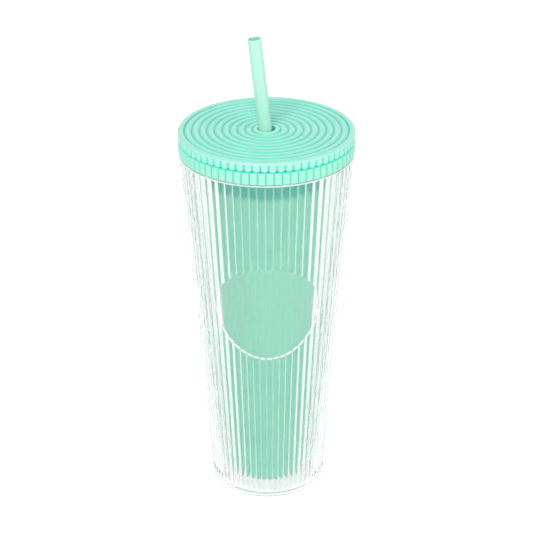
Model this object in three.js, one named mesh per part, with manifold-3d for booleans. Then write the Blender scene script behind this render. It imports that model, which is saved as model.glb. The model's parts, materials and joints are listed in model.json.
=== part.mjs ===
// Double-walled ribbed tumbler with a screw lid and a leaning straw.
// Millimetres, +Z up, origin at the centre of the underside of the base.
import * as THREE from 'three';
import { mergeVertices } from 'three/addons/utils/BufferGeometryUtils.js';
import Module from 'manifold-3d';

const wasm = await Module();
wasm.setup();

// ---- driving dimensions -------------------------------------------------
const GAP = 0.3;                 // clearance between neighbouring pieces
const OVERCUT = 1;               // how far a cutting shape runs past a face
const ROUNDING = 0.3;            // share of a rounding kept at its middle facet

const RIB_COUNT = 68;            // same count on the shell, collar and lid
// depth of the grooves, the part of a pitch that a flank takes, and the first
// groove's place in pitches from the front
const SHELL_RIB = { depth: 0.4, flank: 0.26, phase: 0.79 };
const COLLAR_RIB = { depth: 0.7, flank: 0.14, phase: 0.89 };
const LID_RIB = { depth: 0.8, flank: 0.2, phase: 0.23 };

const SHELL_TOP = 202.7;
const SHELL_FOOT_R = 32.0;       // rib-crest radius extended to the table
const SHELL_TAPER = 0.0787;      // radius gained per millimetre of height
const SHELL_WALL = 2.4;
const SHELL_EDGE = 1.2;          // rounding of the bottom edge
const FOOT_BAND = 5.6;           // plain band below the ribs
const FOOT_RUNOUT = 1.4;         // height over which the grooves fade in

const WINDOW_Z = 123.7;          // round plain window in the ribs
const WINDOW_R = 28.4;
const WINDOW_DEPTH = 0.9;
const WINDOW_CUT_NEAR = 25;      // the cutting bar runs from here out to past the wall
const WINDOW_CUT_FAR = 65;

const BASE_R = 29.2;
const BASE_THICK = 2.4;
const BASE_EDGE = 0.3;

const LINER_FLOOR = 3.4;
const LINER_WALL = 1.3;
const LINER_FOOT_R = 19.3;
const LINER_TAPER = 0.06;
const LINER_EDGE = 3.0;
const LINER_NECK_Z = 195.0;      // the wall turns outwards here
const LEDGE_Z = 200.9;           // seat for the gasket
const LEDGE_R = 39.4;
const FLARE_WALL = 1.5;
const FLARE_OUT = 2.5;           // outward run of the flare's steep lower part, outside
const FLARE_IN = 1.6;            // and inside
const FLARE_BEND = 0.8;
const MOUTH_R = 43.0;            // inside radius of the threaded mouth
const MOUTH_TOP = 208.3;
const MOUTH_WALL = 1.7;
const MOUTH_HEEL = 0.7;          // rise from the ledge to the mouth's wall, outside
const MOUTH_SLOPE = 2.2;         // and inside

const COLLAR_TOP = 209.95;
const COLLAR_R = 48.0;
const COLLAR_LIP = 1.3;
const COLLAR_EDGE = 0.35;

const LID_TOP = 215.7;
const LID_R = 48.0;
const LID_BOTTOM = COLLAR_TOP + GAP;
const LID_PLATE = 2.4;
const LID_SIDE = 1.9;
const LID_ROOT_R = 47.3;         // the side wall behind the ribs
const LID_RIB_TOP = 214.1;
const LID_RIM_FLAT = 1.1;        // from the flat of the rim to the side
const LID_RIM_EDGE = 0.25;
const RING_COUNT = 10;
const RING_FIRST_R = 44.66;
const RING_PITCH = 4.106;
const RING_DEPTH = 0.9;
const RING_RIM = 0.9;            // from the outermost groove to the rim
const HOLE_R = 4.9;
const HOLE_LIP_R = 6.3;
const HOLE_LIP = 0.35;

const SKIRT_R = 41.4;
const SKIRT_WALL = 1.6;
const SKIRT_BOTTOM = 202.6;

const THREAD_PITCH = 4.5;
const THREAD_TURNS = 0.95;
const THREAD_HALF = 0.75;        // half-height of a thread at its root
const THREAD_HEIGHT = 1.0;
const THREAD_ROOT = 0.3;         // how far a thread is sunk into its wall
const THREAD_STEPS = 36;
const THREAD_BELOW = 1.5;        // the mouth's thread lies this far below the lid's
const LID_THREAD_Z = 203.6;
const MOUTH_THREAD_START = Math.PI / 3;
const MOUTH_THREAD_Z = LID_THREAD_Z + THREAD_PITCH / 6 - THREAD_BELOW;

const GASKET_IN = 33.4;
const GASKET_OUT = 38.9;
const GASKET_THICK = 1.3;
const GASKET_EDGE = 0.3;

const PLATE_R = 39.4;
const PLATE_BOTTOM = 202.9;
const PLATE_THICK = 2.0;
const PLUG_R = 28.6;
const PLUG_WALL = 1.5;
const PLUG_BOTTOM = 192.5;
const PLUG_EDGE = 0.5;
const BOSS_R = 7.4;
const BOSS_BORE = 5.4;
const BOSS_BOTTOM = 200.2;

const STRAW_R = 3.7;
const STRAW_WALL = 0.75;
const STRAW_EDGE = 0.2;
const STRAW_LEAN = 0.1062;       // sideways run per millimetre of height
const STRAW_PIVOT_X = -0.64;     // where the axis crosses the lid's plate
const STRAW_PIVOT_Z = 214.6;
const STRAW_LOW_Z = 50.0;
const STRAW_HIGH_Z = 267.1;
const STOP_R = 6.0;
const STOP_HEIGHT = 3.0;
const STOP_EDGE = 0.7;
const STOP_UP = 16.0;            // distance of the stop ring above the straw's lower end

const ROUND = 44;                // facets round a plain turned piece
const SHELL_ROUND = 72;
const WINDOW_ROUND = 180;
const WINDOW_EDGE_ROUND = 48;
const LID_ROUND = 48;
const PLATE_ROUND = 36;
const STRAW_ROUND = 24;
const MINT = 0xa2eed8;
const MINT_DEEP = 0x8fd8bf;
const CLEAR = 0xeef8f4;
const SILICONE = 0xe4f2ec;
const CLEAR_OPACITY = 0.3;

// ---- helpers ------------------------------------------------------------
const onWall = (z) => SHELL_FOOT_R + SHELL_TAPER * z;
const onLiner = (z) => LINER_FOOT_R + LINER_TAPER * z;

// Signed volume of an indexed geometry, used to turn it outward-facing.
function signedVolume(geometry) {
  const p = geometry.attributes.position;
  const index = geometry.index;
  const a = new THREE.Vector3();
  const b = new THREE.Vector3();
  const c = new THREE.Vector3();
  let total = 0;
  for (let i = 0; i < index.count; i += 3) {
    a.fromBufferAttribute(p, index.getX(i));
    b.fromBufferAttribute(p, index.getX(i + 1));
    c.fromBufferAttribute(p, index.getX(i + 2));
    total += a.dot(b.cross(c)) / 6;
  }
  return total;
}

// Position-only geometry to a manifold solid with outward faces.
function toSolid(source) {
  const bare = new THREE.BufferGeometry();
  bare.setAttribute('position', source.attributes.position.clone());
  if (source.index) bare.setIndex(source.index.clone());
  const geometry = mergeVertices(bare, 1e-4);
  const index = Array.from(geometry.index.array);
  if (signedVolume(geometry) < 0) index.reverse();
  const kept = [];
  for (let i = 0; i < index.length; i += 3) {
    const [a, b, c] = index.slice(i, i + 3);
    if (a !== b && b !== c && c !== a) kept.push(a, b, c);
  }
  return new wasm.Manifold(new wasm.Mesh({
    numProp: 3,
    vertProperties: new Float32Array(geometry.attributes.position.array),
    triVerts: new Uint32Array(kept),
  }));
}

function toGeometry(solid) {
  const mesh = solid.getMesh();
  const geometry = new THREE.BufferGeometry();
  geometry.setAttribute('position', new THREE.BufferAttribute(mesh.vertProperties, 3));
  geometry.setIndex(new THREE.BufferAttribute(mesh.triVerts, 1));
  geometry.computeVertexNormals();
  return geometry;
}

// Turned solid from a closed outline of [radius, height] points.
function revolve(outline, facets = ROUND) {
  const points = outline.map(([r, z]) => new THREE.Vector2(r, z));
  if (outline[0][0] > 0) points.push(points[0].clone());
  const geometry = new THREE.LatheGeometry(points, facets);
  geometry.rotateX(Math.PI / 2);
  return toSolid(geometry);
}

// Solid through a list of closed sections with equal point counts.
function loft(sections) {
  const count = sections[0].length;
  const vertices = [];
  sections.forEach((section) => section.forEach((p) => vertices.push(p.x, p.y, p.z)));
  const faces = [];
  for (let s = 0; s + 1 < sections.length; s += 1) {
    for (let i = 0; i < count; i += 1) {
      const j = (i + 1) % count;
      const low = s * count;
      const high = low + count;
      faces.push(low + i, low + j, high + j, low + i, high + j, high + i);
    }
  }
  [0, sections.length - 1].forEach((s, end) => {
    const centre = new THREE.Vector3();
    sections[s].forEach((p) => centre.addScaledVector(p, 1 / count));
    const hub = vertices.length / 3;
    vertices.push(centre.x, centre.y, centre.z);
    for (let i = 0; i < count; i += 1) {
      const a = s * count + i;
      const b = s * count + ((i + 1) % count);
      if (end === 0) faces.push(hub, b, a);
      else faces.push(hub, a, b);
    }
  });
  const geometry = new THREE.BufferGeometry();
  geometry.setAttribute('position', new THREE.Float32BufferAttribute(vertices, 3));
  geometry.setIndex(faces);
  return toSolid(geometry);
}

// One section of a ribbed column: flat-topped ribs, a groove at each pitch cut to a
// share of its full depth.
function ribSection(radius, rib, z, share = 1) {
  const section = [];
  for (let k = 0; k < RIB_COUNT; k += 1) {
    [0, rib.flank, 1 - rib.flank].forEach((part, n) => {
      const angle = (2 * Math.PI * (k + rib.phase + part)) / RIB_COUNT - Math.PI / 2;
      const r = n === 0 ? radius - rib.depth * share : radius;
      section.push(new THREE.Vector3(r * Math.cos(angle), r * Math.sin(angle), z));
    });
  }
  return section;
}

// Helical ridge on a wall; sign +1 stands outwards, -1 inwards.
function thread(wallR, startZ, sign, startAngle) {
  const sections = [];
  for (let s = 0; s <= THREAD_STEPS; s += 1) {
    const part = s / THREAD_STEPS;
    const angle = startAngle + part * THREAD_TURNS * 2 * Math.PI;
    const z = startZ + part * THREAD_TURNS * THREAD_PITCH;
    const sunk = wallR - sign * THREAD_ROOT;
    const crest = wallR + sign * THREAD_HEIGHT;
    const corners = [
      [sunk, z - THREAD_HALF],
      [crest, z - THREAD_HALF / 3],
      [crest, z + THREAD_HALF / 3],
      [sunk, z + THREAD_HALF],
    ];
    sections.push(corners.map(([r, h]) => (
      new THREE.Vector3(r * Math.cos(angle), r * Math.sin(angle), h))));
  }
  return loft(sections);
}

function piece(name, solid, color, opacity = 1) {
  const material = new THREE.MeshStandardMaterial({ color, roughness: 0.45 });
  material.opacity = opacity;
  material.transparent = opacity < 1;
  const mesh = new THREE.Mesh(toGeometry(solid), material);
  mesh.name = name;
  return mesh;
}

// ---- cup ----------------------------------------------------------------
function outerShell() {
  const foot = SHELL_EDGE * ROUNDING;
  const ribbed = loft([
    ribSection(onWall(0) - SHELL_EDGE, SHELL_RIB, 0, 0),
    ribSection(onWall(SHELL_EDGE) - foot, SHELL_RIB, foot, 0),
    ribSection(onWall(SHELL_EDGE), SHELL_RIB, SHELL_EDGE, 0),
    ribSection(onWall(FOOT_BAND), SHELL_RIB, FOOT_BAND, 0),
    ribSection(onWall(FOOT_BAND + FOOT_RUNOUT), SHELL_RIB, FOOT_BAND + FOOT_RUNOUT),
    ribSection(onWall(SHELL_TOP), SHELL_RIB, SHELL_TOP),
  ]);
  const inside = revolve([
    [0, -OVERCUT],
    [onWall(-OVERCUT) - SHELL_WALL, -OVERCUT],
    [onWall(SHELL_TOP + OVERCUT) - SHELL_WALL, SHELL_TOP + OVERCUT],
    [0, SHELL_TOP + OVERCUT],
  ], SHELL_ROUND);
  return ribbed.subtract(inside).subtract(windowCut());
}

// What is cut away outside the window: a bar less the plain cone that stays.
function windowCut() {
  const plain = revolve([
    [0, 0],
    [onWall(0) - WINDOW_DEPTH, 0],
    [onWall(SHELL_TOP) - WINDOW_DEPTH, SHELL_TOP],
    [0, SHELL_TOP],
  ], WINDOW_ROUND);
  const length = WINDOW_CUT_FAR - WINDOW_CUT_NEAR;
  const bar = new THREE.CylinderGeometry(WINDOW_R, WINDOW_R, length, WINDOW_EDGE_ROUND);
  bar.translate(0, -(WINDOW_CUT_NEAR + WINDOW_CUT_FAR) / 2, WINDOW_Z);
  return toSolid(bar).subtract(plain);
}

function baseDisc() {
  return revolve([
    [0, 0],
    [BASE_R - BASE_EDGE, 0],
    [BASE_R, BASE_EDGE],
    [BASE_R, BASE_THICK - BASE_EDGE],
    [BASE_R - BASE_EDGE, BASE_THICK],
    [0, BASE_THICK],
  ]);
}

function innerLiner() {
  const floor = LINER_FLOOR;
  const wall = LINER_WALL;
  const cornerZ = floor + LINER_EDGE;
  const neckR = onLiner(LINER_NECK_Z);
  const body = revolve([
    [0, floor],
    [onLiner(floor) - LINER_EDGE, floor],
    [onLiner(floor) - LINER_EDGE * ROUNDING, floor + LINER_EDGE * ROUNDING],
    [onLiner(cornerZ), cornerZ],
    [neckR, LINER_NECK_Z],
    [neckR + FLARE_OUT, LEDGE_Z - FLARE_WALL - FLARE_BEND],
    [LEDGE_R, LEDGE_Z - FLARE_WALL],
    [MOUTH_R + MOUTH_WALL, LEDGE_Z + MOUTH_HEEL],
    [MOUTH_R + MOUTH_WALL, MOUTH_TOP],
    [MOUTH_R, MOUTH_TOP],
    [MOUTH_R, LEDGE_Z + MOUTH_SLOPE],
    [LEDGE_R, LEDGE_Z],
    [neckR + FLARE_IN, LEDGE_Z],
    [neckR - wall, LINER_NECK_Z + FLARE_BEND],
    [onLiner(cornerZ) - wall, cornerZ],
    [onLiner(floor) - LINER_EDGE - wall * ROUNDING, floor + wall * (1 + ROUNDING)],
    [0, floor + wall],
  ]);
  return body.add(thread(MOUTH_R, MOUTH_THREAD_Z, -1, MOUTH_THREAD_START));
}

function rimCollar() {
  const low = SHELL_TOP + GAP;
  const edge = COLLAR_EDGE;
  const ribbed = loft([
    ribSection(COLLAR_R - edge, COLLAR_RIB, low),
    ribSection(COLLAR_R, COLLAR_RIB, low + edge),
    ribSection(COLLAR_R, COLLAR_RIB, COLLAR_TOP - edge),
    ribSection(COLLAR_R - edge, COLLAR_RIB, COLLAR_TOP, 1 - edge / COLLAR_RIB.depth),
  ]);
  const bore = MOUTH_R + MOUTH_WALL + GAP;
  const inside = revolve([
    [0, low - OVERCUT],
    [bore, low - OVERCUT],
    [bore, COLLAR_TOP - COLLAR_LIP],
    [MOUTH_R, COLLAR_TOP - COLLAR_LIP],
    [MOUTH_R, COLLAR_TOP + OVERCUT],
    [0, COLLAR_TOP + OVERCUT],
  ]);
  return ribbed.subtract(inside);
}

// ---- lid ----------------------------------------------------------------
// Outline of the lid's face, from the straw hole out to the rim.
function lidFace() {
  const outline = [
    [HOLE_R, LID_TOP + HOLE_LIP * ROUNDING],
    [(HOLE_R + HOLE_LIP_R) / 2, LID_TOP + HOLE_LIP],
    [HOLE_LIP_R, LID_TOP],
  ];
  for (let k = RING_COUNT - 1; k >= 0; k -= 1) {
    const r = RING_FIRST_R - k * RING_PITCH;
    outline.push([r, LID_TOP - RING_DEPTH]);
    if (k > 0) outline.push([r + RING_PITCH / 2, LID_TOP]);
  }
  outline.push([RING_FIRST_R + RING_RIM, LID_TOP]);
  return outline;
}

function lidBody() {
  const root = LID_ROOT_R;
  const under = LID_TOP - LID_PLATE;
  return revolve([
    [HOLE_R, under],
    ...lidFace(),
    [LID_R - LID_RIM_FLAT, LID_TOP - LID_RIM_EDGE / 2],
    [LID_R - LID_RIM_EDGE, LID_TOP - LID_RIM_FLAT / 2],
    [LID_R, LID_RIB_TOP],
    [root, LID_RIB_TOP - LID_RIM_EDGE * 2],
    [root, LID_BOTTOM],
    [root - LID_SIDE, LID_BOTTOM],
    [root - LID_SIDE, under],
    [SKIRT_R, under],
    [SKIRT_R, SKIRT_BOTTOM],
    [SKIRT_R - SKIRT_WALL, SKIRT_BOTTOM],
    [SKIRT_R - SKIRT_WALL, under],
  ], LID_ROUND);
}

// Ribs of the lid's side, rounded in at their lower ends, as a ring sunk into its wall.
function lidGrip() {
  const bore = LID_ROOT_R - LID_RIM_EDGE * 2;
  const ribs = loft([
    ribSection(LID_ROOT_R + LID_RIM_EDGE / 2, LID_RIB, LID_BOTTOM + LID_RIM_EDGE / 4, ROUNDING),
    ribSection(LID_R, LID_RIB, LID_BOTTOM + LID_RIB.depth),
    ribSection(LID_R, LID_RIB, LID_RIB_TOP),
  ]);
  return ribs.subtract(revolve([
    [0, LID_BOTTOM - OVERCUT],
    [bore, LID_BOTTOM - OVERCUT],
    [bore, LID_RIB_TOP + OVERCUT],
    [0, LID_RIB_TOP + OVERCUT],
  ]));
}

function lidCover() {
  return lidBody().add(lidGrip()).add(thread(SKIRT_R, LID_THREAD_Z, 1, 0));
}

function lidInnerPlate() {
  const plateTop = PLATE_BOTTOM + PLATE_THICK;
  const bossTop = LID_TOP - LID_PLATE - GAP;
  return revolve([
    [BOSS_BORE, BOSS_BOTTOM],
    [BOSS_R, BOSS_BOTTOM],
    [BOSS_R, PLATE_BOTTOM],
    [PLUG_R - PLUG_WALL, PLATE_BOTTOM],
    [PLUG_R - PLUG_WALL, PLUG_BOTTOM],
    [PLUG_R - PLUG_EDGE, PLUG_BOTTOM],
    [PLUG_R, PLUG_BOTTOM + PLUG_EDGE * 2],
    [PLUG_R, PLATE_BOTTOM],
    [PLATE_R, PLATE_BOTTOM],
    [PLATE_R, plateTop],
    [BOSS_R, plateTop],
    [BOSS_R, bossTop],
    [BOSS_BORE, bossTop],
  ], PLATE_ROUND);
}

function lidGasket() {
  const low = LEDGE_Z + GAP;
  const edge = GASKET_EDGE;
  return revolve([
    [GASKET_IN, low + edge],
    [GASKET_IN + edge, low],
    [GASKET_OUT - edge, low],
    [GASKET_OUT, low + edge],
    [GASKET_OUT, low + GASKET_THICK - edge],
    [GASKET_OUT - edge, low + GASKET_THICK],
    [GASKET_IN + edge, low + GASKET_THICK],
    [GASKET_IN, low + GASKET_THICK - edge],
  ], PLATE_ROUND);
}

// ---- straw --------------------------------------------------------------
// Both pieces are turned on the straw's own axis, with its lower end at zero.
function straw() {
  const length = (STRAW_HIGH_Z - STRAW_LOW_Z) * Math.hypot(1, STRAW_LEAN);
  return revolve([
    [STRAW_R - STRAW_WALL, STRAW_EDGE / 2],
    [STRAW_R - STRAW_WALL / 2, 0],
    [STRAW_R, STRAW_EDGE],
    [STRAW_R, length - STRAW_EDGE],
    [STRAW_R - STRAW_WALL / 2, length],
    [STRAW_R - STRAW_WALL, length - STRAW_EDGE / 2],
  ], STRAW_ROUND);
}

function strawStopRing() {
  const low = STOP_UP;
  const high = STOP_UP + STOP_HEIGHT;
  return revolve([
    [STRAW_R + GAP, low],
    [STOP_R - STOP_EDGE, low],
    [STOP_R, low + STOP_EDGE],
    [STOP_R, high - STOP_EDGE],
    [STOP_R - STOP_EDGE, high],
    [STRAW_R + GAP, high],
  ], STRAW_ROUND);
}

// ---- assembly -----------------------------------------------------------
const cup = new THREE.Group();
cup.add(piece('outer_shell', outerShell(), CLEAR, CLEAR_OPACITY));
cup.add(piece('base_disc', baseDisc(), CLEAR, CLEAR_OPACITY));
cup.add(piece('inner_liner', innerLiner(), MINT_DEEP));
cup.add(piece('rim_collar', rimCollar(), MINT));

const lid = new THREE.Group();
lid.add(piece('lid_cover', lidCover(), MINT));
lid.add(piece('lid_inner_plate', lidInnerPlate(), MINT));
lid.add(piece('lid_gasket', lidGasket(), SILICONE));

const leaning = new THREE.Group();
leaning.position.x = STRAW_PIVOT_X + STRAW_LEAN * (STRAW_PIVOT_Z - STRAW_LOW_Z);
leaning.position.z = STRAW_LOW_Z;
leaning.rotation.y = -Math.atan(STRAW_LEAN);
leaning.add(piece('straw', straw(), MINT));
leaning.add(piece('straw_stop_ring', strawStopRing(), SILICONE));

const tumbler = new THREE.Group();
tumbler.name = 'straw_tumbler';
tumbler.add(cup, lid, leaning);

export default tumbler;
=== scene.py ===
import json
import math
from collections import namedtuple

import bpy
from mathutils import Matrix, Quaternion, Vector


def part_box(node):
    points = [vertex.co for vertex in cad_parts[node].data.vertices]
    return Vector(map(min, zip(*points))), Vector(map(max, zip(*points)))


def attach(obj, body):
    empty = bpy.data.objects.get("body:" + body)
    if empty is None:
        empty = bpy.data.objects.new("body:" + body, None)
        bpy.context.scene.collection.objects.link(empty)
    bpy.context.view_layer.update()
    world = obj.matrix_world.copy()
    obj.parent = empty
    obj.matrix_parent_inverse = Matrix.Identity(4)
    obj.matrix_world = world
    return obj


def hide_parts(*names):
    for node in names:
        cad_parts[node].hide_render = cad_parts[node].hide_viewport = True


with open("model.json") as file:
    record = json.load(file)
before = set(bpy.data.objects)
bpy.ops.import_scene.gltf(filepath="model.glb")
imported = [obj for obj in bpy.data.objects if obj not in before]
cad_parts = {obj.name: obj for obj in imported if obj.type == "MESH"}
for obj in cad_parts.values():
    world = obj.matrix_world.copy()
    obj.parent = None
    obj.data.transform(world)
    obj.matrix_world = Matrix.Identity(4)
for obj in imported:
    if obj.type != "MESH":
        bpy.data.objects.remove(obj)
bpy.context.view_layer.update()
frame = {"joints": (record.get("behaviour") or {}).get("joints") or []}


# ---- sizes, in millimetres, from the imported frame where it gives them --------
MM = 0.001                # piece() turns millimetres into metres


def box_mm(node):
    """Lowest and highest corner of a CAD node."""
    low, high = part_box(node)
    return low / MM, high / MM


GAP = 0.3                 # clearance between neighbouring pieces
RIBS = 68                 # the same count on the shell, collar and lid
RIB_CROWDING = 1.5        # how much closer together a rib's columns stand by its grooves

SHELL_HIGH = box_mm("outer_shell")[1]
SHELL_TOP = SHELL_HIGH.z
SHELL_TOP_R = SHELL_HIGH.x
SHELL_TAPER = 0.0787      # radius gained for each unit of height
SHELL_WALL = 2.4
SHELL_PHASE = 0.79        # the first groove's place in rib pitches from the front
SHELL_SAMPLES = 16        # columns across one rib
RIB_DEPTH = 0.4
RIB_ARC = 0.85            # part of the depth that is the rib's low arc
RIB_NICK = 26             # steepness of the nick between two ribs
SHELL_EDGE = 1.2          # rounding of the bottom edge
EDGE_STEPS = 5
FOOT_BAND = 5.6           # plain band below the ribs
FOOT_RUNOUT = 1.4         # height over which the grooves fade in
RUNOUT_STEPS = 7
TOP_EDGE = ((0.35, 0.0), (0.1, 0.1), (0.0, 0.35))    # (drop, sink) of the top edge's rings
INSIDE_RINGS = (SHELL_TOP, SHELL_TOP - 0.3, 200.0, 150.0, 100.0, 50.0, 0.3, 0.0)    # heights

WINDOW_Z = 123.7
WINDOW_R = 28.4
WINDOW_RECESS = 0.9
WINDOW_TIP = 1.0          # keeps the rings of its two edges apart beside and behind it
WINDOW_CLEAR = 8.0        # from its edge to the next plain ring

BASE_HIGH = box_mm("base_disc")[1]
DISH_R = 24.0
DISH = 1.1                # height of the dish under the base
NIB_R = 1.6
NIB = 0.9                 # height of the moulding nib's flat, in the dish

LINER_LOW, LINER_HIGH = box_mm("inner_liner")
LINER_WALL = 1.3
LINER_FOOT_R = 19.5
NECK_R = 31.0             # the liner's wall turns outwards here
NECK_Z = 195.0
LEDGE_R = 39.4            # the gasket's seat
LEDGE_Z = 200.9
FLARE_WALL = 1.5
MOUTH_R = 43.0

COLLAR_LOW, COLLAR_HIGH = box_mm("rim_collar")
COLLAR_PHASE = 0.89
COLLAR_LIP = 1.3
GRIP_SAMPLES = 12         # columns across one rib of the collar and lid
SCALLOP_SPAN = 0.96       # a scallop's curve stops at this part of its radius, short of upright

LID_LOW, LID_HIGH = box_mm("lid_cover")
HOLE_LIP = 0.35
LID_R = LID_HIGH.x
LID_TOP = LID_HIGH.z - HOLE_LIP
LID_BOTTOM = COLLAR_HIGH.z + GAP
LID_PLATE = 2.4
LID_UNDER = LID_TOP - LID_PLATE
LID_PHASE = 0.23
LID_COLUMNS = 256
LID_EDGE = 1.1            # rounding of the rim
LID_EDGE_STEPS = 7
FACE_R = 46.3             # the face ends here, under the ribbed side's rim
SIDE_R = 45.6             # inside of the ribbed side
SKIRT_R = 41.4
SKIRT_WALL = 1.6
HOLE_R = 4.9
GROOVES = 10              # round the lid's face
GROOVE_FIRST_R = 44.66    # the outermost one
RING_PITCH = 4.106
RING_DEPTH = 0.9
RING_CROWN = 2.2          # roundness of a ring: 1 is a ridge, and more is flatter on top
RING_HALF_STEPS = 6

THREAD_TURNS = 0.95
THREAD_PITCH = 4.5
THREAD_HEIGHT = 1.0
THREAD_HALF = 0.72        # half the width of a thread's root
THREAD_SUNK = 0.1         # how far a thread starts inside its wall
THREAD_END = 8            # a thread grows and fades over one part in this many
LID_THREAD_Z = 203.6
MOUTH_THREAD_Z = 202.85

PLATE_LOW, PLATE_HIGH = box_mm("lid_inner_plate")
PLATE_Z = 202.9           # the plate's underside
PLATE_THICK = 2.0
PLUG_R = 28.6
PLUG_WALL = 1.5
BOSS_R = 7.4
BOSS_BORE = 5.4
BOSS_LOW = 200.2

GASKET_LOW, GASKET_HIGH = box_mm("lid_gasket")
GASKET_IN = 33.4
GASKET_TOP = GASKET_HIGH.z - 0.1
BEAD = 0.4                # height of a sealing bead

STRAW_LOW, STRAW_HIGH = box_mm("straw")
STRAW_AXIS = Vector(next(j for j in frame["joints"] if j["name"] == "straw_slide")["axis"])
STRAW_R = 3.7
STRAW_WALL = 0.75
RIM_RISE = STRAW_R * -STRAW_AXIS.x    # from the middle of a leaning end to its highest point
STRAW_FOOT = Vector((STRAW_HIGH.x - STRAW_R * STRAW_AXIS.z, 0, STRAW_LOW.z + RIM_RISE))
STRAW_LENGTH = (STRAW_HIGH.z - STRAW_LOW.z - 2 * RIM_RISE) / STRAW_AXIS.z
STOP_BORE = STRAW_R + GAP
STOP_R = 6.0
STOP_LOW = 16.0           # distances along the straw from its lower end
STOP_HIGH = 19.0


# ---- mesh helpers -----------------------------------------------------------
def bridge(faces, first, second, count):
    """Quads between two rings of vertices that start at these indices."""
    for i in range(count):
        j = (i + 1) % count
        faces.append((first + i, first + j, second + j, second + i))


def loft(rings):
    """Vertices and faces of a closed tube of rings, whose last ring joins its first."""
    count = len(rings[0])
    verts = [point for ring in rings for point in ring]
    faces = []
    for r in range(len(rings)):
        bridge(faces, r * count, ((r + 1) % len(rings)) * count, count)
    return verts, faces


def turned(outline, columns):
    """Vertices and faces of an outline of (radius, height), turned about the Z axis."""
    verts, faces, starts = [], [], []
    for r, z in outline:
        starts.append(len(verts))
        if r == 0:
            verts.append((0, 0, z))
        else:
            for i in range(columns):
                a = 2 * math.pi * i / columns
                verts.append((r * math.cos(a), r * math.sin(a), z))
    pairs = list(zip(range(len(outline)), range(1, len(outline))))
    if outline[0][0] > 0:
        pairs.append((len(outline) - 1, 0))
    for low, high in pairs:
        a, b = starts[low], starts[high]
        if outline[low][0] == 0:
            faces += [(a, b + (i + 1) % columns, b + i) for i in range(columns)]
        elif outline[high][0] == 0:
            faces += [(a + i, a + (i + 1) % columns, b) for i in range(columns)]
        else:
            bridge(faces, a, b, columns)
    return verts, faces


def rounded(corners, steps=5, most=0.48):
    """Outline through (radius, height, rounding) corners. A rounding takes at most a part of
    each side beside it."""
    points = []
    count = len(corners)
    for i, (r, z, size) in enumerate(corners):
        here = Vector((r, z))
        if size == 0:
            points.append(here)
            continue
        before = Vector(corners[i - 1][:2]) - here
        after = Vector(corners[(i + 1) % count][:2]) - here
        start = here + before.normalized() * min(size, before.length * most)
        end = here + after.normalized() * min(size, after.length * most)
        for s in range(steps + 1):
            t = s / steps
            points.append(start * (1 - t) ** 2 + here * 2 * t * (1 - t) + end * t ** 2)
    return [tuple(p) for p in points]


def piece(name, shape, material, body, slot, stands_for=None, sharp=40):
    """A smooth-shaded object of (vertices in mm, faces) that rides on a body. Edges are sharp
    above an angle in degrees."""
    mesh = bpy.data.meshes.new(name)
    mesh.from_pydata([[c * MM for c in v] for v in shape[0]], [], shape[1])
    mesh.shade_smooth()
    mesh.set_sharp_from_angle(angle=math.radians(sharp))
    mesh.materials.append(material)
    ob = bpy.data.objects.new(name, mesh)
    bpy.context.collection.objects.link(ob)
    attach(ob, body)
    if stands_for:
        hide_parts(stands_for)
    return ob


def mark(ob, name, rows):
    """Stores a number on each point of a piece made of rings, for its material."""
    layer = ob.data.attributes.new(name, "FLOAT", "POINT")
    layer.data.foreach_set("value", [value for row in rows for value in row])


# ---- materials --------------------------------------------------------------
# Noise scales are in features per metre, and heights are in metres as in the finished meshes.
MOTTLE_SCALE = 60.0
GLOSS_SCALE = 180.0
GRAIN = 0.12, 0.06 * MM                # strength and depth of the plastic's bump
GROOVE_PAINTED_SHADE = (0.02, 0.68, 0.55)       # painted shade deep in a groove of the lid or collar, and in its gaps and the lid's hole
PAINTED_GAP_GLOW = (0.0, 0.36, 0.29)           # painted glow in a gap, standing in for light that reaches into it
PAINTED_GLOW_START = 0.9                       # painted shade above which a point also gets the painted glow
FACE_PAINTED_SHADE = 0.75                       # most painted shade in the face's grooves, as a part of the way to the groove's shade colour
GRIP_PAINTED_SHADE = 0.6                        # and in the grooves of the ribbed sides
PAINTED_SHADE_FALL = 2.4                        # how closely that painted shade keeps to a rib's groove

# its two mottled tones, and the painted shadow under the collar at its neck
LINER_COLOURS_AND_SHADOW = ((0.24, 0.79, 0.58), (0.23, 0.77, 0.565), (0.0, 0.57, 0.40))
NECK_PAINTED_SHADOW_Z = (185.7 * MM, 189.0 * MM)    # the painted shadow under the collar sets in here
MOUTH_PAINTED_SHADOW_Z = (201.0 * MM, 202.0 * MM)   # and ends here, where the mouth begins

ACRYLIC_IOR = 1.49
POLISH_SCALE = 140.0
CLEAN_SCALE = 35.0
DEEP_TINT = (0.40, 0.80, 0.65)         # of light that runs far inside the clear plastic
DEEP_DENSITY = 1.5
CLEAR_PART = 0.98                      # transmission of plain and of fully frosted plastic
FROSTED_PART = 0.1
# painted mint of the liner seen through the ribs, in the clear plastic's grooves
PAINTED_LINER_MINT = (0.84, 0.97, 0.92)
FOOT_GREY = (0.93, 0.935, 0.932)
FOOT_SHADE_Z = (5.5 * MM, 7.5 * MM)

DUST_SCALE = 420.0
RUBBER_SCALE = 250.0
RUBBER_ROUGH = (0.55, 0.75)
RUBBER_GRAIN_SCALE = 1500.0
RUBBER_GRAIN = 0.2, 0.05 * MM          # strength and depth of the rubber's bump

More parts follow.
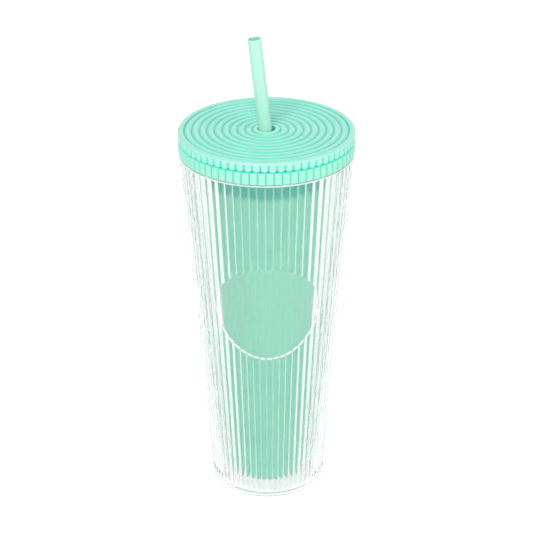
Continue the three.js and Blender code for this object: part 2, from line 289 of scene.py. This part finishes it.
# how frosted each place of the shell is, from 0 to 1: the frosting paints highlights on the window's
# edges and the top edge, and pale lines of light by the grooves
GROOVE_PAINTED_HIGHLIGHT = 0.22
LEDGE_PAINTED_HIGHLIGHT = 1.0         # the window's lower edge
UPPER_PAINTED_HIGHLIGHT = 0.3         # the window's upper edge
WINDOW_PAINTED_HIGHLIGHT = 0.09       # the window's face beside its edge
FOOT_FROST = 0.06
TOP_PAINTED_HIGHLIGHT = 0.7
GROOVE_BAND_START = 0.38         # shares of a groove's depth between which the painted pale line by it sets in
GROOVE_BAND_FULL = 0.62


def new_material(name):
    material = bpy.data.materials.new(name)
    material.use_nodes = True
    return material, material.node_tree, material.node_tree.nodes["Principled BSDF"]


def place(tree):
    """A point's place on the object at rest."""
    return tree.nodes.new("ShaderNodeTexCoord").outputs["Object"]


def height(tree):
    split = tree.nodes.new("ShaderNodeSeparateXYZ")
    tree.links.new(place(tree), split.inputs["Vector"])
    return split.outputs["Z"]


def marked(tree, name):
    """The number that mark() stored on the points, and 0 where it stored none."""
    made = tree.nodes.new("ShaderNodeAttribute")
    made.attribute_name = name
    return made.outputs["Fac"]


def noise(tree, scale, detail=3.0):
    made = tree.nodes.new("ShaderNodeTexNoise")
    made.inputs["Scale"].default_value = scale
    made.inputs["Detail"].default_value = detail
    tree.links.new(place(tree), made.inputs["Vector"])
    return made.outputs["Fac"]


def ramp(tree, source, low, high, start=0.3, end=0.7):
    """Goes from low to high as the source goes from start to end."""
    made = tree.nodes.new("ShaderNodeMapRange")
    made.inputs["From Min"].default_value = start
    made.inputs["From Max"].default_value = end
    made.inputs["To Min"].default_value = low
    made.inputs["To Max"].default_value = high
    tree.links.new(source, made.inputs["Value"])
    return made.outputs["Result"]


def product(tree, first, second):
    made = tree.nodes.new("ShaderNodeMath")
    made.operation = "MULTIPLY"
    tree.links.new(first, made.inputs[0])
    tree.links.new(second, made.inputs[1])
    return made.outputs["Value"]


def blend_colours(tree, amount, first, second):
    made = tree.nodes.new("ShaderNodeMix")
    made.data_type = "RGBA"
    made.inputs["A"].default_value = (*first, 1)
    made.inputs["B"].default_value = (*second, 1)
    tree.links.new(amount, made.inputs["Factor"])
    return made.outputs["Result"]


def bump(tree, shader, surface, strength, distance):
    made = tree.nodes.new("ShaderNodeBump")
    made.inputs["Strength"].default_value = strength
    made.inputs["Distance"].default_value = distance
    tree.links.new(surface, made.inputs["Height"])
    tree.links.new(made.outputs["Normal"], shader.inputs["Normal"])


def deepen(tree, shader, amount, deep):
    """Blends what is already the base colour towards a deeper one."""
    made = blend_colours(tree, amount, deep, deep)
    tree.links.new(shader.inputs["Base Color"].links[0].from_socket, made.node.inputs["A"])
    tree.links.new(made, shader.inputs["Base Color"])


def moulded_plastic(name, colour, shade, rough=(0.3, 0.4), grain=900.0, gloss=0.5):
    """Satin moulded plastic: faint mottling, fine grain and uneven gloss. Marked grooves get a
    painted deeper shade, and marked gaps a painted glow that stands in for light reaching into them."""
    material, tree, shader = new_material(name)
    mottle = ramp(tree, noise(tree, MOTTLE_SCALE), 0.0, 1.0)
    tree.links.new(blend_colours(tree, mottle, colour, shade), shader.inputs["Base Color"])
    # the "groove" mark carries painted shade for grooves, gaps and the lid's hole
    groove = marked(tree, "groove")
    deepen(tree, shader, groove, GROOVE_PAINTED_SHADE)
    # painted glow where the marked painted shade is strongest: the gaps and the lid's hole
    shader.inputs["Emission Color"].default_value = (*PAINTED_GAP_GLOW, 1)
    painted_glow = ramp(tree, groove, 0.0, 1.0, PAINTED_GLOW_START, 1.0)
    tree.links.new(painted_glow, shader.inputs["Emission Strength"])
    tree.links.new(ramp(tree, noise(tree, GLOSS_SCALE), *rough), shader.inputs["Roughness"])
    bump(tree, shader, noise(tree, grain, 2.0), *GRAIN)
    shader.inputs["Specular IOR Level"].default_value = gloss
    return material


def liner_plastic(name, colour, shade, deep):
    """Moulded plastic like the rest, with a painted shadow band at the neck, under the collar."""
    material = moulded_plastic(name, colour, shade, (0.4, 0.5), gloss=0.2)
    tree = material.node_tree
    z = height(tree)
    above = ramp(tree, z, 0.0, 1.0, *NECK_PAINTED_SHADOW_Z)
    below = ramp(tree, z, 1.0, 0.0, *MOUTH_PAINTED_SHADOW_Z)
    # painted shadow of the collar on the liner's neck
    deepen(tree, tree.nodes["Principled BSDF"], product(tree, above, below), deep)
    return material


def clear_plastic(name, tint, rough):
    """Clear moulded acrylic: polished, tinted where light runs far inside it, and greyer at the
    foot.
    Marked points are frosted, mostly to paint highlights and pale lines of light, or get a painted
    pale mint that stands in for the liner seen through the ribs."""
    material, tree, shader = new_material(name)
    shader.inputs["IOR"].default_value = ACRYLIC_IOR
    polish = ramp(tree, noise(tree, POLISH_SCALE), 0.0, rough)
    tree.links.new(polish, shader.inputs["Roughness"])
    clean = ramp(tree, noise(tree, CLEAN_SCALE), 0.0, 1.0)
    tree.links.new(blend_colours(tree, clean, tint, (1, 1, 1)), shader.inputs["Base Color"])
    # painted mint of the liner seen through the ribs
    deepen(tree, shader, marked(tree, "tint"), PAINTED_LINER_MINT)
    deepen(tree, shader, ramp(tree, height(tree), 1.0, 0.0, *FOOT_SHADE_Z), FOOT_GREY)
    # less clear where the marks paint highlights and pale lines of light with frosting
    clear = ramp(tree, marked(tree, "frost_and_painted_highlight"), CLEAR_PART, FROSTED_PART, 0.0, 1.0)
    tree.links.new(clear, shader.inputs["Transmission Weight"])
    depth = tree.nodes.new("ShaderNodeVolumeAbsorption")
    depth.inputs["Color"].default_value = (*DEEP_TINT, 1)
    depth.inputs["Density"].default_value = DEEP_DENSITY
    tree.links.new(depth.outputs["Volume"], tree.nodes["Material Output"].inputs["Volume"])
    return material


def silicone(name, colour, shade):
    """Soft matte silicone rubber with a dusty grain."""
    material, tree, shader = new_material(name)
    dust = ramp(tree, noise(tree, DUST_SCALE), 0.0, 1.0)
    tree.links.new(blend_colours(tree, dust, colour, shade), shader.inputs["Base Color"])
    rough = ramp(tree, noise(tree, RUBBER_SCALE), *RUBBER_ROUGH)
    tree.links.new(rough, shader.inputs["Roughness"])
    bump(tree, shader, noise(tree, RUBBER_GRAIN_SCALE, 2.0), *RUBBER_GRAIN)
    return material


SHELL_CLEAR = clear_plastic("clear_acrylic", (0.996, 0.998, 0.998), 0.1)
BASE_CLEAR = clear_plastic("clear_base", (0.97, 0.975, 0.97), 0.05)
LINER_MINT = liner_plastic("liner_mint", *LINER_COLOURS_AND_SHADOW)
COLLAR_MINT = moulded_plastic("collar_mint", (0.355, 0.785, 0.60), (0.34, 0.77, 0.59))
LID_MINT = moulded_plastic("lid_mint", (0.365, 0.81, 0.665), (0.35, 0.795, 0.65))
STRAW_MINT = moulded_plastic("straw_mint", (0.45, 0.80, 0.66), (0.44, 0.785, 0.65),
                             rough=(0.3, 0.38), grain=500.0)
SILICONE = silicone("gasket_silicone", (0.72, 0.88, 0.82), (0.68, 0.86, 0.79))


# ---- outer shell ------------------------------------------------------------
def rib_columns(samples, phase, groove_of):
    """(angle, groove) of each column round a ribbed ring, closer together by the grooves."""
    columns = []
    for i in range(RIBS * samples):
        t = 2 * (i % samples) / samples - 1
        u = math.copysign(1 - (1 - abs(t)) ** RIB_CROWDING, t)
        turn = (i // samples + (1 + u) / 2 + phase) / RIBS
        columns.append((2 * math.pi * turn - math.pi / 2, groove_of(abs(u))))
    return columns


def shell_groove(u):
    """Share of the groove's depth, from 0 on a rib's crown to 1: a low arc, then a nick."""
    return RIB_ARC * u ** 2 + (1 - RIB_ARC) * u ** RIB_NICK


COLUMNS = rib_columns(SHELL_SAMPLES, SHELL_PHASE, shell_groove)


def shell_radius(z):
    """Radius of the rib crowns at a height."""
    return SHELL_TOP_R - (SHELL_TOP - z) * SHELL_TAPER


def shell_ring(radius_of, height_of):
    """A ring of the shell. radius_of takes an angle and a groove, and height_of an angle."""
    ring = []
    for angle, groove in COLUMNS:
        r = radius_of(angle, groove)
        ring.append((r * math.cos(angle), r * math.sin(angle), height_of(angle)))
    return ring


def shell_row(z, ribbed=1.0, sink=0.0):
    """A level ring below the shell's crowns, with its grooves at part of their depth."""
    r = shell_radius(z) - sink
    return shell_ring(lambda angle, groove: r - RIB_DEPTH * ribbed * groove, lambda angle: z)


def groove_band(groove):
    """0 on a rib's crown, rising smoothly to 1 round the groove beside it."""
    t = min(1.0, max(0.0, (groove - GROOVE_BAND_START) / (GROOVE_BAND_FULL - GROOVE_BAND_START)))
    return t * t * (3 - 2 * t)


def groove_painted_highlight(ribbed=1.0):
    """Frosting of one ring's points, which lies round the grooves and paints pale lines of light
    there.
    """
    return [GROOVE_PAINTED_HIGHLIGHT * ribbed * groove_band(groove) for angle, groove in COLUMNS]


def groove_painted_mint(frost_and_painted_highlight):
    """Share of the grooves' painted mint at a point, which stands in for the liner seen through the
    ribs, and none on the whiter edges with painted highlights.
    """
    return frost_and_painted_highlight / GROOVE_PAINTED_HIGHLIGHT if frost_and_painted_highlight <= GROOVE_PAINTED_HIGHLIGHT else 0.0


def even_frost_and_highlight(amount):
    return [amount] * len(COLUMNS)


def window_half(angle):
    """Half the window's height at this angle, and nothing beside it or behind."""
    side = shell_radius(WINDOW_Z) * math.cos(angle)
    if math.sin(angle) > 0 or abs(side) >= WINDOW_R:
        return 0.0
    return math.sqrt(WINDOW_R ** 2 - side ** 2)


def window_row(sign, off, recessed):
    """A ring that follows the window's upper (+1) or lower (-1) edge, off by a distance."""
    def height_of(angle):
        return WINDOW_Z + sign * (max(window_half(angle), WINDOW_TIP) + off)

    def radius_of(angle, groove):
        flat = recessed and window_half(angle) > 0
        return shell_radius(height_of(angle)) - (WINDOW_RECESS if flat else RIB_DEPTH * groove)

    return shell_ring(radius_of, height_of)


def window_painted_highlight(on_window):
    """Frosting of a ring at the window, which paints highlights: dashes that fade at each groove,
    and the ribs' own pale lines beside the window."""
    return [on_window * (1 - groove ** 2) if window_half(angle) > 0 else GROOVE_PAINTED_HIGHLIGHT * groove_band(groove)
            for angle, groove in COLUMNS]


def window_rows(sign, edge_highlight):
    """Rings from the ribs outside the window's upper (+1) or lower (-1) edge to its flat face."""
    rows = [(window_row(sign, 0.65, False), groove_painted_highlight())]
    for off, recessed in ((0.5, False), (0.07, False), (-0.07, True)):
        rows.append((window_row(sign, off, recessed), window_painted_highlight(edge_highlight)))
    for off in (-0.12, -0.3):
        rows.append((window_row(sign, off, True), window_painted_highlight(WINDOW_PAINTED_HIGHLIGHT)))
    return rows


def outer_shell():
    """Rings up the outside of the shell and down its inside, each with its points' frosting, which
    paints highlights and pale lines of light.
    """
    edge = SHELL_EDGE
    rows = []
    for s in range(EDGE_STEPS + 1):
        t = math.pi / 2 * s / EDGE_STEPS
        rows.append((shell_row(edge * (1 - math.cos(t)), 0, edge * (1 - math.sin(t))),
                     even_frost_and_highlight(FOOT_FROST)))
    for s in range(RUNOUT_STEPS + 1):
        t = s / RUNOUT_STEPS
        fade = math.sin(math.pi / 2 * t)
        rows.append((shell_row(FOOT_BAND + FOOT_RUNOUT * t, fade), groove_painted_highlight(fade)))
    rows.append((shell_row(WINDOW_Z - WINDOW_R - WINDOW_CLEAR), groove_painted_highlight()))
    rows += window_rows(-1, LEDGE_PAINTED_HIGHLIGHT) + window_rows(1, UPPER_PAINTED_HIGHLIGHT)[::-1]
    rows.append((shell_row(WINDOW_Z + WINDOW_R + WINDOW_CLEAR), groove_painted_highlight()))
    rows.append((shell_row(SHELL_TOP - 0.8), groove_painted_highlight()))
    for drop, sink in TOP_EDGE:
        rows.append((shell_row(SHELL_TOP - drop, 1, sink), even_frost_and_highlight(TOP_PAINTED_HIGHLIGHT)))
    for z in INSIDE_RINGS:
        rows.append((shell_row(z, 0, SHELL_WALL), even_frost_and_highlight(0.0)))
    return rows


shell_rows = outer_shell()
shell = piece("shell_ribbed", loft([ring for ring, frost_and_painted_highlight in shell_rows]),
              SHELL_CLEAR, "cup", "clear_plastic", "outer_shell")
# frosting that paints highlights and pale lines of light
mark(shell, "frost_and_painted_highlight", [frost_and_painted_highlight for ring, frost_and_painted_highlight in shell_rows])
# the "tint" mark: painted mint of the liner seen through the ribs
mark(shell, "tint", [[groove_painted_mint(f) for f in frost_and_painted_highlight] for ring, frost_and_painted_highlight in shell_rows])


# ---- base disc --------------------------------------------------------------
def base_disc():
    """Clear disc closing the foot, with a shallow dish and a moulding nib beneath."""
    r, thick = BASE_HIGH.x, BASE_HIGH.z
    return turned(rounded([
        (0, NIB, 0), (NIB_R, NIB, 0.3), (NIB_R + 0.8, DISH, 0.3), (DISH_R, DISH, 0.6),
        (DISH_R + 1, 0, 0.4), (r, 0, 0.4), (r, thick, 0.4), (0, thick, 0),
    ]), 160)


piece("base_dished", base_disc(), BASE_CLEAR, "cup", "clear_plastic", "base_disc")


# ---- inner liner ------------------------------------------------------------
def inner_liner():
    """Tapered cup that flares out at its neck to the gasket's ledge and the threaded mouth."""
    bottom, top, mouth = LINER_LOW.z, LINER_HIGH.z, LINER_HIGH.x
    return turned(rounded([
        (0, bottom, 0), (LINER_FOOT_R, bottom, 3.2), (NECK_R, NECK_Z, 1.6),
        (NECK_R + 2.5, LEDGE_Z - FLARE_WALL - 0.8, 0.8), (LEDGE_R, LEDGE_Z - FLARE_WALL, 1.0),
        (mouth, LEDGE_Z + 0.7, 0.8), (mouth, top, 0.5),
        (MOUTH_R, top, 0.5), (MOUTH_R, LEDGE_Z + 2.2, 0.6), (LEDGE_R, LEDGE_Z, 0.5),
        (NECK_R + 1.6, LEDGE_Z, 0.8), (NECK_R - LINER_WALL, NECK_Z + 0.8, 1.4),
        (LINER_FOOT_R - 1.2, bottom + 1.5, 3.0), (0, bottom + LINER_WALL, 0),
    ]), 256)


def thread_ridge(wall_r, start_z, sign, start_angle, steps=90, arc=8):
    """A helical ridge with tapered ends on a wall; sign +1 stands outwards, -1 inwards."""
    rings = []
    for s in range(steps + 1):
        t = s / steps
        grow = min(1.0, THREAD_END * t, THREAD_END * (1 - t)) + 0.02
        a = start_angle + THREAD_TURNS * 2 * math.pi * t
        z = start_z + THREAD_TURNS * THREAD_PITCH * t
        ring = []
        for b in range(arc + 1):
            turn = math.pi * b / arc - math.pi / 2
            r = wall_r + sign * (math.cos(turn) * THREAD_HEIGHT * grow - THREAD_SUNK)
            ring.append((r * math.cos(a), r * math.sin(a), z + THREAD_HALF * math.sin(turn)))
        rings.append(ring)
    count = arc + 1
    verts = [p for ring in rings for p in ring]
    faces = []
    for s in range(steps):
        bridge(faces, s * count, (s + 1) * count, count)
    faces.append(tuple(range(count)))
    faces.append(tuple(reversed(range(steps * count, (steps + 1) * count))))
    return verts, faces


piece("liner_shell", inner_liner(), LINER_MINT, "cup", "liner_mint", "inner_liner")
piece("liner_thread", thread_ridge(MOUTH_R, MOUTH_THREAD_Z, -1, math.pi / 3),
      LINER_MINT, "cup", "liner_mint")


# ---- ribbed rings: collar and lid side --------------------------------------
# One ring of a ribbed band: the radius and height of its crowns, and in its grooves their depth
# and how far the ring rises. The last is how much painted shade it gets all round; near the most,
# it also gets a painted glow.
Row = namedtuple("Row", "radius height depth scallop tone", defaults=(0.0, 0.0, 0.0))


def grip_rings(columns, squareness, rows):
    rings = []
    for row in rows:
        ring = []
        for angle, u in columns:
            r = row.radius - row.depth * u ** squareness
            rise = row.scallop * (1 - math.sqrt(1 - (SCALLOP_SPAN * u) ** 2))
            ring.append((r * math.cos(angle), r * math.sin(angle), row.height + rise))
        rings.append(ring)
    return rings


def grip_painted_shade(columns, rows):
    """How much painted shade each point of those rings gets: the row's, or more in a groove."""
    return [[max(row.tone, GRIP_PAINTED_SHADE * min(1.0, row.depth) * u ** PAINTED_SHADE_FALL) for angle, u in columns]
            for row in rows]


def grip_piece(name, phase, squareness, rows, *rest):
    """A ribbed band. The squarer its ribs are, the flatter their crowns."""
    columns = rib_columns(GRIP_SAMPLES, phase, lambda u: u)
    ob = piece(name, loft(grip_rings(columns, squareness, rows)), *rest, sharp=50)
    # painted shade in the grooves and where the rows ask for it, and a painted glow at the most
    mark(ob, "groove", grip_painted_shade(columns, rows))


def collar_rows():
    """From the collar's lower edge up its ribs, across its top and down its bore. Its top gets
    painted shade and a painted glow where it faces the gap under the lid."""
    low, high, r = COLLAR_LOW.z, COLLAR_HIGH.z, COLLAR_HIGH.x
    inside = LINER_HIGH.x + GAP
    return [
        Row(inside + 0.2, low),
        Row(r - 0.9, low, 0.2), Row(r - 0.45, low + 0.15, 0.5), Row(r - 0.12, low + 0.5, 0.8),
        Row(r, low + 0.95, 0.9), Row(r, high - 0.6, 0.9), Row(r - 0.12, high - 0.2, 0.8),
        Row(r - 0.5, high, 0.5, tone=1), Row(r - 0.8, high, 0.3, tone=1), Row(r - 1.9, high, tone=1),
        Row(r - 2.1, high), Row(MOUTH_R + 0.4, high), Row(MOUTH_R, high - 0.3),
        Row(MOUTH_R, high - COLLAR_LIP), Row(inside, high - COLLAR_LIP),
    ]


grip_piece("collar_ribbed", COLLAR_PHASE, 5, collar_rows(),
           COLLAR_MINT, "cup", "collar_mint", "rim_collar")


# ---- lid --------------------------------------------------------------------
def ring_face():
    """The lid's face: a lip round the hole, then grooves with round-topped rings between them."""
    top, depth, hole = LID_TOP, RING_DEPTH, HOLE_R
    points = [(hole, top - 0.1), (hole + 0.1, top + 0.2), (hole + 0.4, top + 0.34),
              (hole + 0.8, top + 0.34), (hole + 1.2, top + 0.2), (hole + 1.5, top)]
    inner = GROOVE_FIRST_R - (GROOVES - 1) * RING_PITCH
    points += [(inner - 0.5, top), (inner - 0.2, top - depth * 0.6)]
    for k in range(GROOVES - 1, 0, -1):
        middle = GROOVE_FIRST_R - (k - 0.5) * RING_PITCH
        for s in range(2 * RING_HALF_STEPS + 1):
            u = s / RING_HALF_STEPS - 1
            points.append((middle + u * RING_PITCH / 2, top - depth * abs(u) ** RING_CROWN))
    outer = GROOVE_FIRST_R
    points += [(outer + 0.2, top - depth * 0.6), (outer + 0.5, top - 0.05), (outer + 0.9, top)]
    return points


def lid_outline():
    """Face, plate and threaded skirt of the lid."""
    skirt_in = SKIRT_R - SKIRT_WALL
    return ring_face() + rounded([
        (FACE_R, LID_TOP - 0.02, 0), (FACE_R, LID_UNDER, 0), (SKIRT_R, LID_UNDER, 0.8),
        (SKIRT_R, LID_LOW.z, 0.4), (skirt_in, LID_LOW.z, 0.4), (skirt_in, LID_UNDER, 0.8),
        (HOLE_R, LID_UNDER, 0.3),
    ])


def face_painted_shade(r, z):
    """How much painted shade a point of that outline gets: most in the hole, which also gets a
    painted glow, then in the grooves, and none on the hole's lip and below the face."""
    if r < HOLE_R + 0.05:
        return 1.0
    if r < HOLE_R + 1.6 or LID_TOP - z > 1.01 * RING_DEPTH:
        return 0.0
    return min(FACE_PAINTED_SHADE, (LID_TOP - z) / RING_DEPTH)


def lid_side_rows():
    """From the lid's lower edge up its scalloped ribs and over its rounded rim."""
    low, top, r = LID_BOTTOM, LID_TOP, LID_R
    rows = [
        # a row at the ribs' scalloped lower edge gets painted shade
        Row(SIDE_R, low), Row(r - 1.5, low, 0.0, 0.6), Row(r - 0.85, low + 0.05, 0.3, 1.6, 0.4),
        Row(r - 0.35, low + 0.3, 0.7, 1.6), Row(r - 0.08, low + 0.7, 0.95, 1.2),
        Row(r, low + 1.2, 0.9, 0.5), Row(r, top - 1.7, 0.9), Row(r, top - 1.45, 0.8),
        Row(r, top - 1.25, 0.4), Row(r, top - 1.15),
    ]
    for s in range(1, LID_EDGE_STEPS + 1):
        t = math.pi / 2 * s / LID_EDGE_STEPS
        rows.append(Row(r - LID_EDGE * (1 - math.cos(t)), top - LID_EDGE * (1 - math.sin(t)) - 0.01))
    return rows + [Row(SIDE_R + 0.3, top - 0.01), Row(SIDE_R, top - 0.6)]


outline = lid_outline()
lid_face = piece("lid_ringed_top", turned(outline, LID_COLUMNS), LID_MINT, "lid", "lid_mint",
                 "lid_cover")
# painted shade in the face's grooves and hole, and a painted glow in the hole
mark(lid_face, "groove", [[face_painted_shade(r, z)] * LID_COLUMNS for r, z in outline])
grip_piece("lid_ribbed_side", LID_PHASE, 4, lid_side_rows(), LID_MINT, "lid", "lid_mint")
piece("lid_thread", thread_ridge(SKIRT_R, LID_THREAD_Z, 1, 0.0), LID_MINT, "lid", "lid_mint")


def inner_plate():
    """Plate under the cover, with a boss round the straw and the plug hanging from it."""
    low, high, r = PLATE_Z, PLATE_Z + PLATE_THICK, PLATE_HIGH.x
    plug_in = PLUG_R - PLUG_WALL
    return turned(rounded([
        (BOSS_BORE, BOSS_LOW, 0.4), (BOSS_R, BOSS_LOW, 0.4), (BOSS_R, low, 0.5), (plug_in, low, 0.5),
        (plug_in, PLATE_LOW.z, 0.3), (PLUG_R, PLATE_LOW.z, 0.7), (PLUG_R, low, 0.3), (r, low, 0.3),
        (r, high, 0.4), (BOSS_R, high, 0.8), (BOSS_R, PLATE_HIGH.z, 0.4),
        (BOSS_BORE, PLATE_HIGH.z, 0.4),
    ]), 192)


def gasket():
    """Flat ring with two raised sealing beads above."""
    low, high, r = GASKET_LOW.z, GASKET_TOP, GASKET_HIGH.x
    hollow = high - BEAD
    return turned(rounded([
        (GASKET_IN, low, 0.3), (r, low, 0.3), (r, high, 0.3), (38.0, high, 0.2),
        (37.6, hollow, 0.2), (36.8, hollow, 0.2), (36.4, high, 0.2), (35.8, high, 0.2),
        (35.4, hollow, 0.2), (34.7, hollow, 0.2), (34.3, high, 0.2), (GASKET_IN, high, 0.3),
    ]), 192)


piece("plate_with_plug", inner_plate(), LID_MINT, "lid_inner", "plate_mint", "lid_inner_plate")
piece("gasket_beaded", gasket(), SILICONE, "lid_seal", "silicone", "lid_gasket")


# ---- straw ------------------------------------------------------------------
def on_straw(shape):
    """Moves a shape turned about Z onto the straw's leaning axis."""
    turn = Vector((0, 0, 1)).rotation_difference(STRAW_AXIS).to_matrix()
    return [turn @ Vector(v) + STRAW_FOOT for v in shape[0]], shape[1]


def straw():
    bore, r, long = STRAW_R - STRAW_WALL, STRAW_R, STRAW_LENGTH
    return on_straw(turned(rounded([
        (bore, 0, 0.3), (r, 0, 0.35), (r, long, 0.35), (bore, long, 0.3),
    ]), 72))


def stop_ring():
    return on_straw(turned(rounded([
        (STOP_BORE, STOP_LOW, 0.3), (STOP_R, STOP_LOW, 1.2),
        (STOP_R, STOP_HIGH, 1.2), (STOP_BORE, STOP_HIGH, 0.3),
    ]), 72))


piece("straw_tube", straw(), STRAW_MINT, "straw", "straw_mint", "straw")
piece("straw_stop", stop_ring(), SILICONE, "straw", "silicone", "straw_stop_ring")


# ---- floor, light and camera, in metres -------------------------------------
WORLD_LIGHT = 0.52        # the world's strength as a diffuse light
WORLD_SEEN = 1.02         # and where it is seen, reflected or looked through to
KEY_POWER = 11.2          # watts
FILL_POWER = 3.0
BACK_POWER = 1.0
LIGHT_AIM = (0, 0, 0.12)
FLOOR_HALF = 6.0
FLOOR_GLOW = 0.88
FLOOR_COLOUR = 0.25
CAMERA_PLACE = (0, -0.9565, 0.6084)
CAMERA_AIM = (-0.0004, 0, 0.1325)
CAMERA_ROLL = -0.005      # radians
CAMERA_LENS = 128.85      # millimetres, on a 36 mm sensor


def floor():
    """A pale floor that glows like a light table, so that shadows on it stay faint."""
    material, tree, shader = new_material("pale_floor")
    faint = ramp(tree, noise(tree, 8.0), 0.0, 1.0)
    pale, paler = [FLOOR_COLOUR] * 3, [FLOOR_COLOUR + 0.01] * 3
    tree.links.new(blend_colours(tree, faint, pale, paler), shader.inputs["Base Color"])
    shader.inputs["Roughness"].default_value = 0.9
    shader.inputs["Emission Color"].default_value = (1, 1, 1, 1)
    shader.inputs["Emission Strength"].default_value = FLOOR_GLOW
    mesh = bpy.data.meshes.new("floor")
    s = FLOOR_HALF
    mesh.from_pydata([(-s, -s, 0), (s, -s, 0), (s, s, 0), (-s, s, 0)], [], [(0, 1, 2, 3)])
    mesh.materials.append(material)
    ob = bpy.data.objects.new("floor", mesh)
    bpy.context.collection.objects.link(ob)


def area_light(name, where, size, power):
    data = bpy.data.lights.new(name, "AREA")
    data.shape = "RECTANGLE"
    data.size, data.size_y = size
    data.energy = power
    ob = bpy.data.objects.new(name, data)
    ob.location = where
    look = Vector(LIGHT_AIM) - Vector(where)
    ob.rotation_euler = look.to_track_quat("-Z", "Y").to_euler()
    bpy.context.collection.objects.link(ob)


def studio_world():
    """White where it is seen, reflected or looked through to, and dimmer as a light."""
    world = bpy.data.worlds.new("studio")
    world.use_nodes = True
    nodes, links = world.node_tree.nodes, world.node_tree.links
    sky = nodes["Background"]
    sky.inputs["Color"].default_value = (1, 1, 1, 1)
    path = nodes.new("ShaderNodeLightPath")
    strength = nodes.new("ShaderNodeMapRange")
    strength.inputs["To Min"].default_value = WORLD_SEEN
    strength.inputs["To Max"].default_value = WORLD_LIGHT
    links.new(path.outputs["Is Diffuse Ray"], strength.inputs["Value"])
    links.new(strength.outputs["Result"], sky.inputs["Strength"])
    bpy.context.scene.world = world


def lights():
    area_light("key", (-0.3, -1.02, 1.17), (0.7, 0.5), KEY_POWER)
    area_light("fill", (0.9, -0.6, 0.6), (0.8, 1.0), FILL_POWER)
    area_light("back", (0.1, 1.1, 0.5), (1.2, 0.6), BACK_POWER)


def camera():
    data = bpy.data.cameras.new("camera")
    data.lens = CAMERA_LENS
    data.sensor_width = 36.0
    data.clip_start, data.clip_end = 0.05, 30
    ob = bpy.data.objects.new("camera", data)
    ob.location = CAMERA_PLACE
    look = Vector(CAMERA_AIM) - ob.location
    ob.rotation_mode = "QUATERNION"
    ob.rotation_quaternion = look.to_track_quat("-Z", "Y")
    ob.rotation_quaternion @= Quaternion((0, 0, 1), CAMERA_ROLL)
    bpy.context.collection.objects.link(ob)
    bpy.context.scene.camera = ob


def long_light_paths():
    """Lets light cross the many clear walls, which few bounces leave with black streaks."""
    cycles = bpy.context.scene.cycles
    cycles.max_bounces = 64
    cycles.glossy_bounces = 64
    cycles.transmission_bounces = 64


floor()
studio_world()
lights()
camera()
long_light_paths()
bpy.context.scene.view_settings.view_transform = "Standard"
